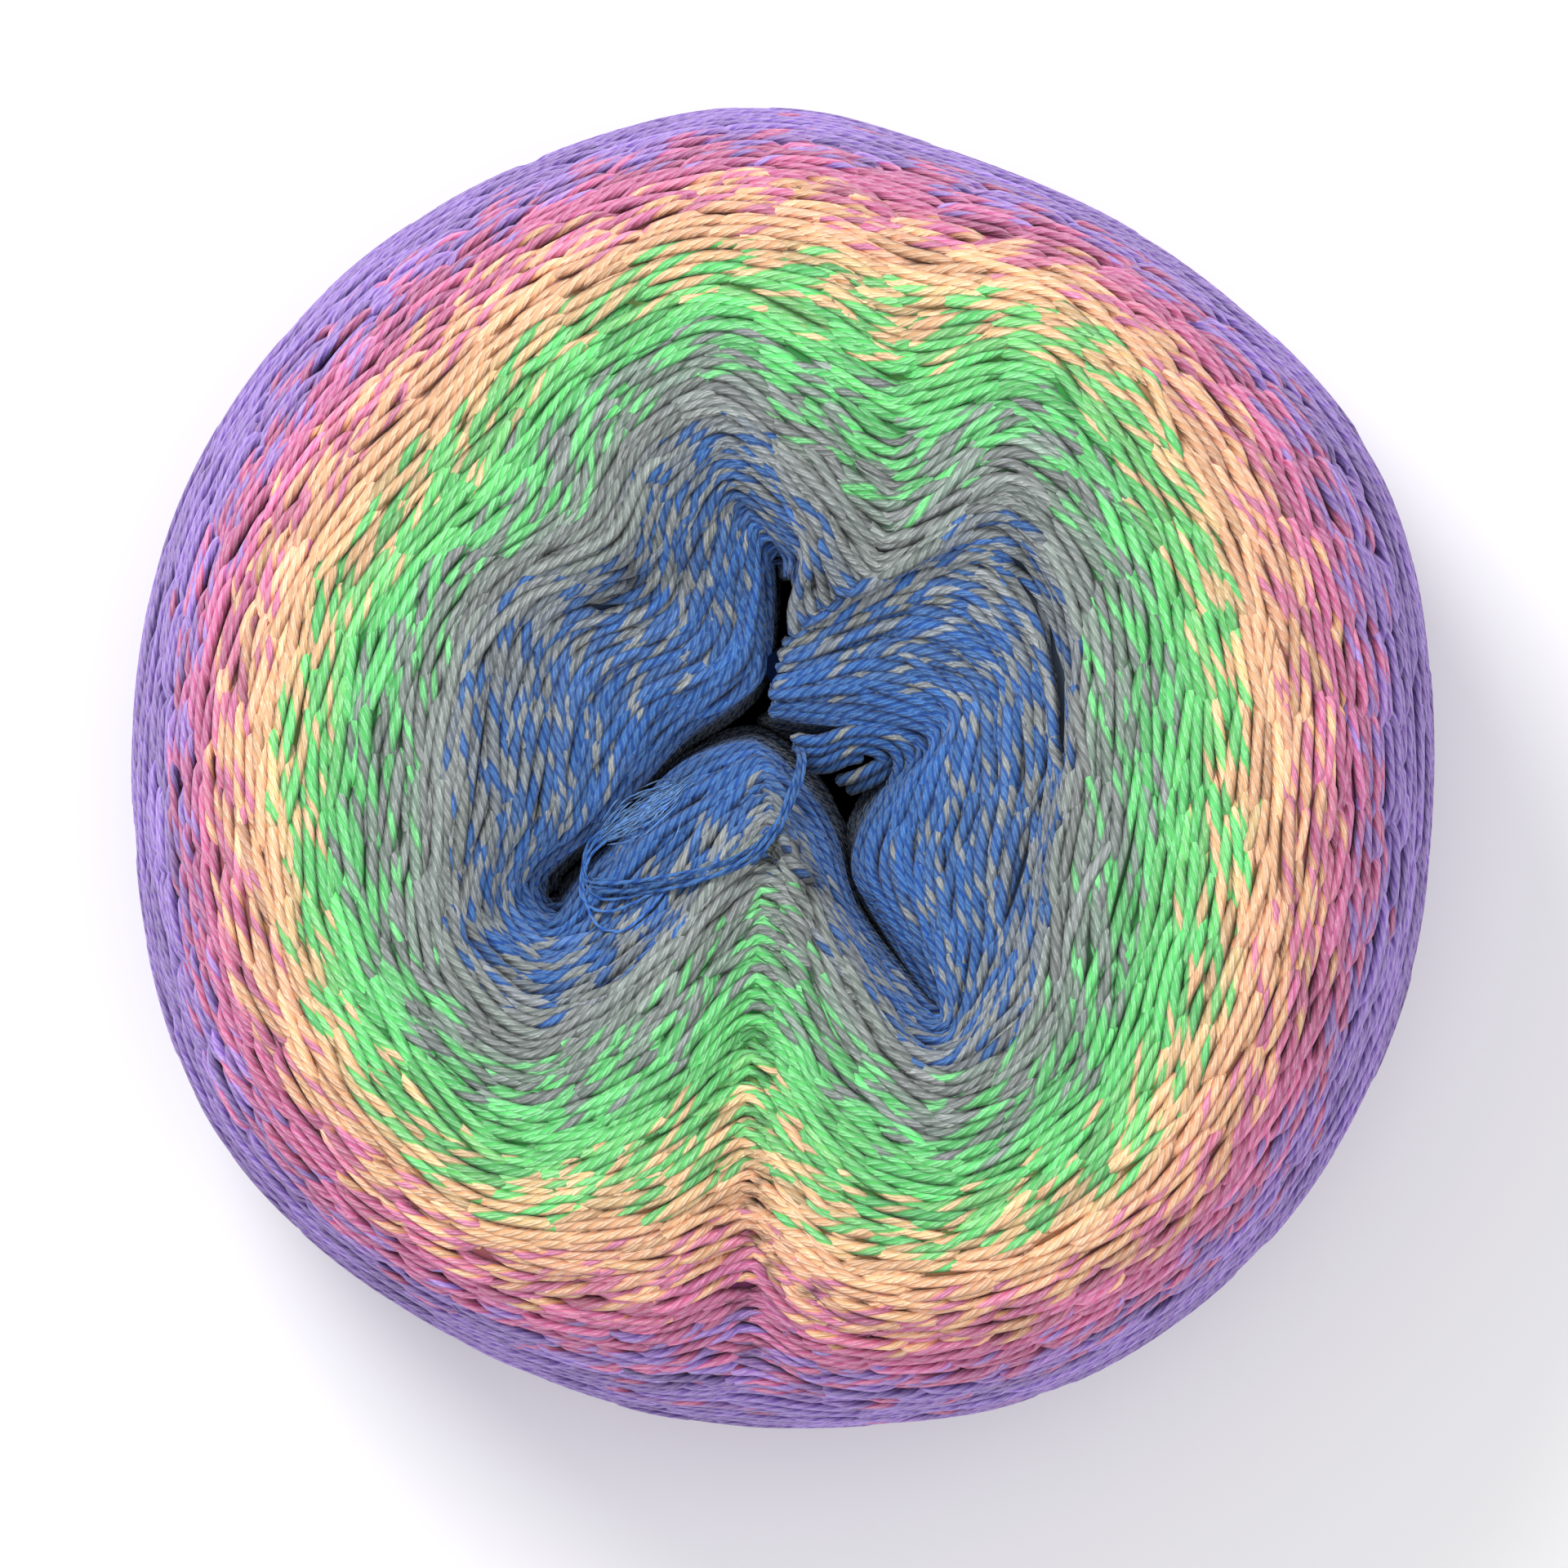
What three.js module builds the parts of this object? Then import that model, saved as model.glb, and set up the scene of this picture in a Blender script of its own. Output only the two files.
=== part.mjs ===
// A yarn cake: one flat-ended ball of wound yarn with a collapsed, folded middle, and the end of the
// yarn lying loose on its top. Sizes are millimetres, +Z is up, and the cake rests on z = 0.
import * as THREE from "three";

const cakeHeight = 78;
const girthHeight = 38; // where the barrel side is widest
const shoulderLayer = 0.72; // the layers outside this one round over into the side
const shoulderBend = 2.6;
const dishDepth = 9; // how far the middle of the top sinks
const dishLayer = 0.5;
const lipDrop = 3; // how far the edge of the slit rolls down
const lipLayer = 0.07;
const hollowDepth = 26; // from the lip of the collapsed middle down to its floor
const columnsPerFold = 8;

// The yarn lies in closed layers, from the slit where the middle collapsed (layer 0) out to the
// girth (layer 1). Each row follows one fold through five of them, anticlockwise from the right.
// crease makes a fold sharp, in layer 0 and in layer 1, and rimDip keeps it pulled towards the middle
// close to the girth.
const layerLevels = [0, 0.25, 0.5, 0.77, 1];
const folds = [
  { name: "east", at: [[11.3, -3.4], [29.0, 2.6], [33.9, 3.2], [54.3, 0.9], [74.3, -0.3]] },
  { name: "rightLobeSide", at: [[15.3, 2.0], [26.3, 15.2], [31.6, 23.8], [46.5, 32.9], [68.8, 32.9]] },
  { name: "rightLobeTop", at: [[7.6, 4.5], [21.9, 20.1], [25.9, 30.7], [29.3, 52.1], [44.2, 58.7]] },
  {
    name: "topCrease",
    at: [[-1.6, 5.6], [0.8, 14.6], [11.0, 24.2], [12.5, 53.4], [11.6, 73.0]],
    crease: [1, 0.2],
  },
  {
    name: "topLobeRight",
    at: [[-0.1, 23.7], [1.6, 24.6], [3.1, 32.9], [5.0, 57.2], [5.3, 74.7]],
    crease: [0.85, 0.1],
  },
  { name: "topLobe", at: [[-0.8, 24.5], [-6.4, 32.0], [-7.9, 42.1], [-5.6, 58.6], [-3.7, 75.5]] },
  { name: "topLobeLeft", at: [[-1.3, 17.6], [-10.5, 26.1], [-16.5, 37.5], [-25.6, 51.3], [-25.6, 70.7]] },
  { name: "leftCrease", at: [[-2.1, 11.2], [-13.3, 19.2], [-21.3, 28.1], [-41.7, 36.4], [-49.7, 57.0]] },
  { name: "leftUpper", at: [[-12.0, 2.9], [-24.3, 13.7], [-32.5, 21.5], [-54.0, 19.2], [-68.0, 32.9]] },
  { name: "left", at: [[-19.7, -6.1], [-29.7, -6.0], [-40.3, -3.7], [-58.6, -3.7], [-74.5, -3.7]] },
  { name: "leftLower", at: [[-28.1, -14.2], [-32.5, -17.4], [-38.0, -23.7], [-52.6, -30.0], [-65.2, -41.5]] },
  { name: "leftLobe", at: [[-26.3, -16.7], [-27.4, -22.4], [-27.9, -31.9], [-30.2, -50.6], [-34.8, -66.7]] },
  { name: "tongueLeft", at: [[-22.2, -12.1], [-21.7, -21.2], [-21.3, -29.2], [-22.2, -50.6], [-25.3, -70.8]] },
  { name: "leftLobeRight", at: [[-9.5, 1.3], [-15.9, -17.4], [-14.8, -23.7], [-14.2, -48.6], [-15.3, -73.8]] },
  {
    name: "lowCrease",
    at: [[-3.4, 2.9], [-1.6, -3.7], [-2.2, -11.9], [-4.1, -42.9], [-3.3, -75.6]],
    crease: [0.45, 0.7], rimDip: 3,
  },
  { name: "tongueRight", at: [[5.0, -6.9], [1.4, -8.3], [2.0, -15.6], [0.3, -47.7], [3.3, -75.6]] },
  { name: "lowLobeLeft", at: [[8.4, -16.6], [4.4, -13.4], [6.2, -24.2], [4.9, -52.6], [9.8, -75.3]] },
  { name: "lowLobe", at: [[17.1, -26.9], [18.8, -30.3], [19.2, -36.0], [17.3, -55.5], [25.9, -73.0]] },
  { name: "lowLobeRight", at: [[12.5, -20.0], [23.4, -22.6], [27.3, -30.0], [39.0, -45.5], [53.9, -55.8]] },
  { name: "eastLower", at: [[8.0, -11.0], [26.8, -9.4], [31.8, -11.7], [51.6, -22.0], [70.5, -27.7]] },
];

// Valleys where a fold sinks below its neighbours: how deep, how wide in folds, and in which layers.
const valleys = [
  { fold: "topCrease", depth: 4.5, width: 0.5, layer: 0.3, spread: 0.35 },
  { fold: "lowCrease", depth: 4.0, width: 0.45, layer: 0.55, spread: 0.45 },
  { fold: "leftCrease", depth: 4.0, width: 0.7, layer: 0.22, spread: 0.2 },
];

// Gaps that run along a layer where the turns have parted.
const gaps = [
  { from: 19.6, to: 21.9, layer: 0.36, width: 0.05, depth: 3.0 },
  { from: 18.2, to: 19.8, layer: 0.27, width: 0.05, depth: 2.2 },
  { from: 18.6, to: 19.6, layer: 0.62, width: 0.03, depth: 1.6 },
];

// Layers that the top of the solid is built on, then the side and base as scaled copies of the girth.
const topLayers = [
  0, 0.02, 0.045, 0.075, 0.12, 0.18, 0.25, 0.31, 0.36, 0.42, 0.5, 0.58, 0.66, 0.74, 0.81, 0.87, 0.92, 0.955, 0.98, 1,
];
const lowerRings = [
  { name: "side", scale: 0.996, height: 29 },
  { name: "sideLow", scale: 0.983, height: 20 },
  { name: "heelTop", scale: 0.96, height: 11.5 },
  { name: "heel", scale: 0.925, height: 4.8 },
  { name: "heelFoot", scale: 0.885, height: 1.2 },
  { name: "restOuter", scale: 0.85, height: 0 },
  { name: "restInner", scale: 0.42, height: 0 },
  { name: "dimpleEdge", scale: 0.3, height: 2.2 },
  { name: "dimple", scale: 0.14, height: 5 },
];
const dimpleHeight = 5.6;

// The loose end: a four-thread strand that comes up out of the hollow, curls over and lies on the top.
const strandThickness = 1.1;
const strandSides = 8;
const strandSteps = 18;
const loosePath = [
  [1.5, 3.1, 61.5],
  [2.0, 1.0, 67.5],
  [1.6, -1.3, 70.7],
  [0.8, -3.3, 72.5],
  [-0.5, -6.3, 74.4],
  [-3.0, -9.3, 75.9],
  [-6.5, -11.2, 77.0],
  [-10.5, -12.4, 75.8],
  [-14.5, -13.2, 73.3],
  [-18.0, -13.5, 71.9],
  [-21.2, -13.3, 70.6],
];

const foldIndex = (name) => folds.findIndex((fold) => fold.name === name);
const smooth = (u) => u * u * (3 - 2 * u);
const clamp01 = (u) => Math.min(1, Math.max(0, u));

// A cubic between two values with a slope at each end, both over a span h.
function hermite(a, b, slopeA, slopeB, h, u) {
  const u2 = u * u;
  const u3 = u2 * u;
  return (
    a * (2 * u3 - 3 * u2 + 1) + slopeA * h * (u3 - 2 * u2 + u) + b * (3 * u2 - 2 * u3) + slopeB * h * (u3 - u2)
  );
}

// Slope at a knot from its neighbours, weighted by the two spans beside it.
function slopeAt(before, here, after, spanBefore, spanAfter) {
  const back = (here - before) / spanBefore;
  const on = (after - here) / spanAfter;
  return (on * spanBefore + back * spanAfter) / (spanBefore + spanAfter);
}

// Where one fold lies in a layer, as x, y.
function foldPoint(fold, layer) {
  const last = layerLevels.length - 1;
  const i = Math.min(last - 1, layerLevels.filter((level) => level <= layer).length - 1);
  const span = (k) => layerLevels[k + 1] - layerLevels[k];
  const slope = (k, axis) => {
    if (k === 0) return (fold.at[1][axis] - fold.at[0][axis]) / span(0);
    if (k === last) return (fold.at[last][axis] - fold.at[last - 1][axis]) / span(last - 1);
    return slopeAt(fold.at[k - 1][axis], fold.at[k][axis], fold.at[k + 1][axis], span(k - 1), span(k));
  };
  const u = (layer - layerLevels[i]) / span(i);
  const [x, y] = [0, 1].map((axis) =>
    hermite(fold.at[i][axis], fold.at[i + 1][axis], slope(i, axis), slope(i + 1, axis), span(i), u),
  );
  const dip = (fold.rimDip ?? 0) * Math.exp(-(((layer - 0.9) / 0.055) ** 2));
  const reach = Math.hypot(x, y);
  return [x * (1 - dip / reach), y * (1 - dip / reach)];
}

// A whole layer as x, y points, columnsPerFold of them between each fold and the next.
function layerOutline(layer) {
  const count = folds.length;
  const points = folds.map((fold) => foldPoint(fold, layer));
  const spans = points.map((p, k) => Math.hypot(...[0, 1].map((axis) => points[(k + 1) % count][axis] - p[axis])));
  const slopes = points.map((p, k) => {
    const before = (k + count - 1) % count;
    const after = (k + 1) % count;
    const [inner, outer] = folds[k].crease ?? [0, 0];
    const sharp = inner + (outer - inner) * layer;
    return [0, 1].map((axis) => {
      const even = slopeAt(points[before][axis], p[axis], points[after][axis], spans[before], spans[k]);
      const out = (points[after][axis] - p[axis]) / spans[k];
      const back = (p[axis] - points[before][axis]) / spans[before];
      return { out: even + sharp * (out - even), back: even + sharp * (back - even) };
    });
  });
  return points.flatMap((p, k) => {
    const after = (k + 1) % count;
    return Array.from({ length: columnsPerFold }, (_, c) =>
      [0, 1].map((axis) =>
        hermite(
          p[axis],
          points[after][axis],
          slopes[k][axis].out,
          slopes[after][axis].back,
          spans[k],
          c / columnsPerFold,
        ),
      ),
    );
  });
}

// Height of the top in a layer, at a place counted in folds.
function topHeight(layer, place) {
  const over = clamp01((layer - shoulderLayer) / (1 - shoulderLayer));
  let z = girthHeight + (cakeHeight - girthHeight) * (1 - over ** shoulderBend) ** (1 / 2.2);
  z -= dishDepth * (1 - smooth(clamp01(layer / dishLayer)));
  z -= lipDrop * (1 - clamp01(layer / lipLayer)) ** 2;
  for (const valley of valleys) {
    let away = Math.abs(place - foldIndex(valley.fold));
    away = Math.min(away, folds.length - away);
    const across = Math.exp(-((away / valley.width) ** 2));
    const rimFade = 1 - smooth(clamp01((layer - 0.82) / 0.16));
    z -= valley.depth * across * rimFade * Math.exp(-(((layer - valley.layer) / valley.spread) ** 2));
  }
  for (const gap of gaps) {
    const along = place < gap.from - 2 ? place + folds.length : place;
    const ends = smooth(clamp01((along - gap.from) / 0.5)) * smooth(clamp01((gap.to - along) / 0.5));
    z -= gap.depth * ends * Math.exp(-(((layer - gap.layer) / gap.width) ** 2));
  }
  return z;
}

const girth = layerOutline(1);
const middleOf = (axis) => {
  const values = girth.map((p) => p[axis]);
  return (Math.max(...values) + Math.min(...values)) / 2;
};
const centre = [middleOf(0), middleOf(1)];

function woundCake() {
  const columns = girth.length;
  const rings = [];
  const slit = layerOutline(0);
  const lip = slit.map((_, c) => topHeight(0, c / columnsPerFold));
  const floorHeight = cakeHeight - dishDepth - hollowDepth;
  rings.push(slit.map(([x, y]) => [x, y, floorHeight]));
  rings.push(slit.map(([x, y], c) => [x, y, floorHeight + (lip[c] - floorHeight) * 0.6]));
  for (const layer of topLayers) {
    rings.push(layerOutline(layer).map(([x, y], c) => [x, y, topHeight(layer, c / columnsPerFold)]));
  }
  for (const { scale, height } of lowerRings) {
    rings.push(
      girth.map(([x, y]) => [
        centre[0] + (x - centre[0]) * scale,
        centre[1] + (y - centre[1]) * scale,
        height,
      ]),
    );
  }
  const positions = rings.flat();
  const baseCentre = positions.push([centre[0], centre[1], dimpleHeight]) - 1;
  const faces = THREE.ShapeUtils.triangulateShape(slit.map(([x, y]) => new THREE.Vector2(x, y)), []);
  for (let r = 0; r + 1 < rings.length; r++) {
    for (let c = 0; c < columns; c++) {
      const next = (c + 1) % columns;
      const [a, b] = [r * columns + c, r * columns + next];
      const [d, e] = [a + columns, b + columns];
      faces.push([a, d, b], [b, d, e]);
    }
  }
  const lastRing = (rings.length - 1) * columns;
  for (let c = 0; c < columns; c++) {
    faces.push([lastRing + c, baseCentre, lastRing + ((c + 1) % columns)]);
  }
  const geometry = new THREE.BufferGeometry();
  geometry.setAttribute("position", new THREE.Float32BufferAttribute(positions.flat(), 3));
  geometry.setIndex(faces.flat());
  geometry.computeVertexNormals();
  return geometry;
}

function looseEnd() {
  const path = new THREE.CatmullRomCurve3(loosePath.map((p) => new THREE.Vector3(...p)));
  const rim = Array.from({ length: strandSides }, (_, k) => {
    const turn = (2 * Math.PI * k) / strandSides;
    return new THREE.Vector2(Math.cos(turn), Math.sin(turn)).multiplyScalar(strandThickness / 2);
  });
  return new THREE.ExtrudeGeometry(new THREE.Shape(rim), {
    steps: strandSteps,
    extrudePath: path,
    bevelEnabled: false,
  });
}

const cake = new THREE.Mesh(
  woundCake(),
  new THREE.MeshStandardMaterial({ name: "woundYarn", color: 0x8478c0, roughness: 0.95 }),
);
cake.name = "wound_cake";

const loose = new THREE.Mesh(
  looseEnd(),
  new THREE.MeshStandardMaterial({ name: "looseYarn", color: 0x4e78be, roughness: 0.95 }),
);
loose.name = "loose_end";

const part = new THREE.Group();
part.add(cake, loose);
part.position.set(-centre[0], -centre[1], 0); // the cake stands centred on the origin

export default part;
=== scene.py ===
import math

import bpy
import numpy as np
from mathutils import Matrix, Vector


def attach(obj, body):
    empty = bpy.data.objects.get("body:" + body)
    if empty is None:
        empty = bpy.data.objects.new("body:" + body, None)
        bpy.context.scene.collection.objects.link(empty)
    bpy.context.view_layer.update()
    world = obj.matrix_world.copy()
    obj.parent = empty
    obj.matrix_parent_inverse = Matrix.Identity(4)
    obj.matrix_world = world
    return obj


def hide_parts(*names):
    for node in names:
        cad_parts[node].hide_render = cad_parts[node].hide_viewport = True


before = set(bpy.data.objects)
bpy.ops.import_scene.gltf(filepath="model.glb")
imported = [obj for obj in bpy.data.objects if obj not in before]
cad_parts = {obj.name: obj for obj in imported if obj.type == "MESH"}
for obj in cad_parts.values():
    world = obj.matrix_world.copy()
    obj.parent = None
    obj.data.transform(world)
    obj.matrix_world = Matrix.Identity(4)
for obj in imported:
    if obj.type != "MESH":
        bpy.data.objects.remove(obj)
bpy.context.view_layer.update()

mm = 0.001
tiny = 1e-9  # keeps a division away from zero
farAway = 99  # mm
rng = np.random.default_rng(7)

# the wound form: sizes in mm, as in the CAD
form = {
    "height": 78.0,
    "girthHeight": 38.0,
    "shoulderLayer": 0.72,  # layers outside this one round over into the side
    "shoulderBend": 2.6,
    "shoulderRound": 2.2,
    "dishDepth": 9.0,
    "dishLayer": 0.5,
    "lipDrop": 3.0,  # how far the edge of the slit rolls down
    "lipLayer": 0.07,
    "wallDepth": 12.0,  # how far down the walls of the slit carry turns
    "wallSlope": 1.8,  # how far the walls come in at most as they go down
    "hollowDepth": 26.0,
    "rimDipLayer": 0.9,  # where a crease that runs out over the rim is deepest, and how widely
    "rimDipWidth": 0.055,
    "valleyEnd": 0.82,  # layer where the valleys begin to fade out, and over how much
    "valleyFade": 0.16,
    "perFold": 16,  # columns between two folds
}
layerLevels = np.array([0, 0.25, 0.5, 0.77, 1.0])
folds = {  # place in each of the five layers, counter-clockwise from the right
    "east": [[11.3, -3.4], [29.0, 2.6], [33.9, 3.2], [54.3, 0.9], [74.3, -0.3]],
    "rightLobeSide": [[15.3, 2.0], [26.3, 15.2], [31.6, 23.8], [46.5, 32.9], [68.8, 32.9]],
    "rightLobeTop": [[7.6, 4.5], [21.9, 20.1], [25.9, 30.7], [29.3, 52.1], [44.2, 58.7]],
    "topCrease": [[-1.6, 5.6], [0.8, 14.6], [11.0, 24.2], [12.5, 53.4], [11.6, 73.0]],
    "topLobeRight": [[-0.1, 23.7], [1.6, 24.6], [3.1, 32.9], [5.0, 57.2], [5.3, 74.7]],
    "topLobe": [[-0.8, 24.5], [-6.4, 32.0], [-7.9, 42.1], [-5.6, 58.6], [-3.7, 75.5]],
    "topLobeLeft": [[-1.3, 17.6], [-10.5, 26.1], [-16.5, 37.5], [-25.6, 51.3], [-25.6, 70.7]],
    "leftCrease": [[-2.1, 11.2], [-13.3, 19.2], [-21.3, 28.1], [-41.7, 36.4], [-49.7, 57.0]],
    "leftUpper": [[-12.0, 2.9], [-24.3, 13.7], [-32.5, 21.5], [-54.0, 19.2], [-68.0, 32.9]],
    "left": [[-19.7, -6.1], [-29.7, -6.0], [-40.3, -3.7], [-58.6, -3.7], [-74.5, -3.7]],
    "leftLower": [[-28.1, -14.2], [-32.5, -17.4], [-38.0, -23.7], [-52.6, -30.0], [-65.2, -41.5]],
    "leftLobe": [[-26.3, -16.7], [-27.4, -22.4], [-27.9, -31.9], [-30.2, -50.6], [-34.8, -66.7]],
    "tongueLeft": [[-22.2, -12.1], [-21.7, -21.2], [-21.3, -29.2], [-22.2, -50.6], [-25.3, -70.8]],
    "leftLobeRight": [[-9.5, 1.3], [-15.9, -17.4], [-14.8, -23.7], [-14.2, -48.6], [-15.3, -73.8]],
    "lowCrease": [[-3.4, 2.9], [-1.6, -3.7], [-2.2, -11.9], [-4.1, -42.9], [-3.3, -75.6]],
    "tongueRight": [[5.0, -6.9], [1.4, -8.3], [2.0, -15.6], [0.3, -47.7], [3.3, -75.6]],
    "lowLobeLeft": [[8.4, -16.6], [4.4, -13.4], [6.2, -24.2], [4.9, -52.6], [9.8, -75.3]],
    "lowLobe": [[17.1, -26.9], [18.8, -30.3], [19.2, -36.0], [17.3, -55.5], [25.9, -73.0]],
    "lowLobeRight": [[12.5, -20.0], [23.4, -22.6], [27.3, -30.0], [39.0, -45.5], [53.9, -55.8]],
    "eastLower": [[8.0, -11.0], [26.8, -9.4], [31.8, -11.7], [51.6, -22.0], [70.5, -27.7]],
}
creases = {"topCrease": (1, 0.2), "topLobeRight": (0.85, 0.1), "lowCrease": (0.45, 0.7)}
rimDips = {"lowCrease": 3}
valleys = [
    {"fold": "topCrease", "depth": 4.5, "width": 0.5, "layer": 0.3, "spread": 0.35},
    {"fold": "lowCrease", "depth": 4.0, "width": 0.45, "layer": 0.55, "spread": 0.45},
    {"fold": "leftCrease", "depth": 4.0, "width": 0.7, "layer": 0.22, "spread": 0.2},
]
gaps = [
    {"from": 19.6, "to": 21.9, "layer": 0.36, "width": 0.05, "depth": 3.0},
    {"from": 18.2, "to": 19.8, "layer": 0.27, "width": 0.05, "depth": 2.2},
    {"from": 18.6, "to": 19.6, "layer": 0.62, "width": 0.03, "depth": 1.6},
]
pits = [  # small hollows where turns part: middle, half width and half height, depth
    (-3.0, -30.8, 1.7, 0.9, 1.4), (-2.4, -35.3, 1.4, 0.8, 1.1), (-2.7, -39.8, 1.2, 0.8, 0.6),
    (-3.0, -46.8, 1.2, 0.7, 0.9), (-3.2, -49.4, 1.5, 0.8, 1.2), (-3.0, -53.2, 1.6, 0.9, 1.4),
    (-1.1, -56.3, 0.9, 0.9, 0.9), (-5.0, -58.9, 1.8, 0.7, 1.1), (-4.2, -61.0, 1.9, 0.7, 1.1),
    (-3.8, -65.4, 1.7, 0.7, 0.9), (3.6, -59.0, 1.4, 0.7, 0.6), (2.9, -13.6, 1.1, 1.8, 1.4),
    (-0.4, -9.8, 1.5, 0.8, 0.9), (-17.2, 21.2, 1.5, 1.4, 1.6), (-20.4, 18.6, 2.4, 0.9, 1.4),
    (3.1, 20.7, 0.9, 1.0, 1.4), (-19.4, -20.3, 1.2, 0.8, 0.9),
]
lowerProfile = [  # scale of the girth outline, height
    (1.0, 38), (0.996, 29), (0.983, 20), (0.96, 11.5), (0.925, 4.8), (0.885, 1.2), (0.85, 0),
    (0.64, 0), (0.42, 0), (0.3, 2.2), (0.14, 5.0), (0.02, 5.6),
]


def smooth(u):
    # eases from 0 to 1
    u = np.clip(u, 0, 1)
    return u * u * (3 - 2 * u)


def unit(v):
    return v / (np.linalg.norm(v, axis=-1)[..., None] + tiny)


def crossed(a, b):
    # cross product of flat directions
    return a[..., 0] * b[..., 1] - a[..., 1] * b[..., 0]


def hermite(a, b, slopeA, slopeB, h, u):
    # from a to b over the length h, with a slope at each end
    u2, u3 = u * u, u * u * u
    fromA = a * (2 * u3 - 3 * u2 + 1) + slopeA * h * (u3 - 2 * u2 + u)
    return fromA + b * (3 * u2 - 2 * u3) + slopeB * h * (u3 - u2)


def foldTracks(layers):
    # where each fold lies in each layer: layers x folds x 2
    at = np.array(list(folds.values()), float)
    spans = np.diff(layerLevels)[None, :, None]
    steps = np.diff(at, axis=1) / spans
    slopes = np.empty_like(at)
    slopes[:, 0], slopes[:, -1] = steps[:, 0], steps[:, -1]
    before, after = spans[:, :-1], spans[:, 1:]
    slopes[:, 1:-1] = (steps[:, 1:] * before + steps[:, :-1] * after) / (before + after)
    i = np.clip(np.searchsorted(layerLevels, layers, "right") - 1, 0, len(layerLevels) - 2)
    h = (layerLevels[i + 1] - layerLevels[i])[None, :, None]
    u = ((layers - layerLevels[i])[None, :, None]) / h
    points = hermite(at[:, i], at[:, i + 1], slopes[:, i], slopes[:, i + 1], h, u)
    nearRim = np.exp(-(((layers - form["rimDipLayer"]) / form["rimDipWidth"]) ** 2))
    dip = np.array([rimDips.get(name, 0) for name in folds])[:, None] * nearRim[None]
    reach = np.linalg.norm(points, axis=2)
    return np.swapaxes(points * (1 - dip / reach)[..., None], 0, 1)


def layerOutlines(layers, perFold):
    # closed outlines of the layers: layers x columns x 2
    p = foldTracks(layers)
    ahead, behind = np.roll(p, -1, 1), np.roll(p, 1, 1)
    span = np.linalg.norm(ahead - p, axis=2)[..., None]
    spanBehind = np.roll(span, 1, 1)
    out, back = (ahead - p) / span, (p - behind) / spanBehind
    even = (out * spanBehind + back * span) / (span + spanBehind)
    # sharpness of each fold in the innermost and in the outermost layer
    crease = np.array([creases.get(name, (0, 0)) for name in folds])
    sharp = (crease[:, 0] + (crease[:, 1] - crease[:, 0]) * layers[:, None])[..., None]
    out, back = even + sharp * (out - even), even + sharp * (back - even)
    u = (np.arange(perFold) / perFold)[None, None, :, None]
    wide = [a[:, :, None, :] for a in (p, ahead, out, np.roll(back, -1, 1), span)]
    return hermite(wide[0], wide[1], wide[2], wide[3], wide[4], u).reshape(len(layers), -1, 2)


def topHeight(layer, place):
    # layer is a column, place counts in folds along a row
    over = np.clip((layer - form["shoulderLayer"]) / (1 - form["shoulderLayer"]), 0, 1)
    rounding = (1 - over ** form["shoulderBend"]) ** (1 / form["shoulderRound"])
    z = form["girthHeight"] + (form["height"] - form["girthHeight"]) * rounding
    z = z - form["dishDepth"] * (1 - smooth(layer / form["dishLayer"]))
    z = z - form["lipDrop"] * (1 - np.clip(layer / form["lipLayer"], 0, 1)) ** 2
    names = list(folds)
    for v in valleys:
        away = np.abs(place - names.index(v["fold"]))
        away = np.minimum(away, len(folds) - away)
        fade = 1 - smooth((layer - form["valleyEnd"]) / form["valleyFade"])
        fade = fade * np.exp(-(((layer - v["layer"]) / v["spread"]) ** 2))
        z = z - v["depth"] * np.exp(-((away / v["width"]) ** 2)) * fade
    for g in gaps:
        along = np.where(place < g["from"] - 2, place + len(folds), place)
        ends = smooth((along - g["from"]) / 0.5) * smooth((g["to"] - along) / 0.5)
        z = z - g["depth"] * ends * np.exp(-(((layer - g["layer"]) / g["width"]) ** 2))
    return z


def pitsAt(x, y):
    # how much the nearest pit is felt at a place, 0 to 1, and how deep the pits make it
    felt, deep = [], 0
    for middleX, middleY, halfWidth, halfHeight, depth in pits:
        felt.append(np.exp(-(((x - middleX) / halfWidth) ** 2) - ((y - middleY) / halfHeight) ** 2))
        deep = deep + depth * felt[-1]
    return np.max(felt, axis=0), deep


def roomAcross(outline):
    # from each point of the slit's outline, the way straight in and how far it is to the other side
    along = np.roll(outline, -1, 0) - np.roll(outline, 1, 0)
    inward = np.stack([-along[:, 1], along[:, 0]], 1) / np.linalg.norm(along, axis=1)[:, None]
    edge = np.roll(outline, -1, 0) - outline
    toEdge = outline[None] - outline[:, None]
    side = crossed(inward[:, None], edge[None])
    side = np.where(np.abs(side) < tiny, tiny, side)
    reach, where = crossed(toEdge, edge[None]) / side, crossed(toEdge, inward[:, None]) / side
    room = np.where((where >= 0) & (where <= 1) & (reach > 0.1), reach, farAway).min(1)
    # the least room close by, then evened out
    room = np.min([np.roll(room, k) for k in range(-3, 4)], axis=0)
    room = np.mean([np.roll(room, k) for k in range(-5, 6)], axis=0)
    return inward, room


def areaOf(outline):
    return 0.5 * np.abs(np.sum(crossed(outline, np.roll(outline, -1, -2)), axis=-1))


def rounded(values, width=9):
    # takes the corners off a profile
    return np.convolve(np.pad(values, width // 2, mode="edge"), np.ones(width) / width, "valid")


skin = {
    "topRows": 270,
    "rimRows": 90,
    "rimFrom": 0.86,  # from this layer outwards the rows crowd towards the girth
    "wallRows": 28,
    "wallRoom": 0.46,  # the walls take up at most this share of the slit's width from each side
    "wallEven": 0.8,  # share of the wall's depth over which it comes in
    "sideStep": 0.5,  # mm between rows of the side and base
    "shoulder": 0.965,  # layer where the side's turns begin
    "heelHeight": 5.5,
}


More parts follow.
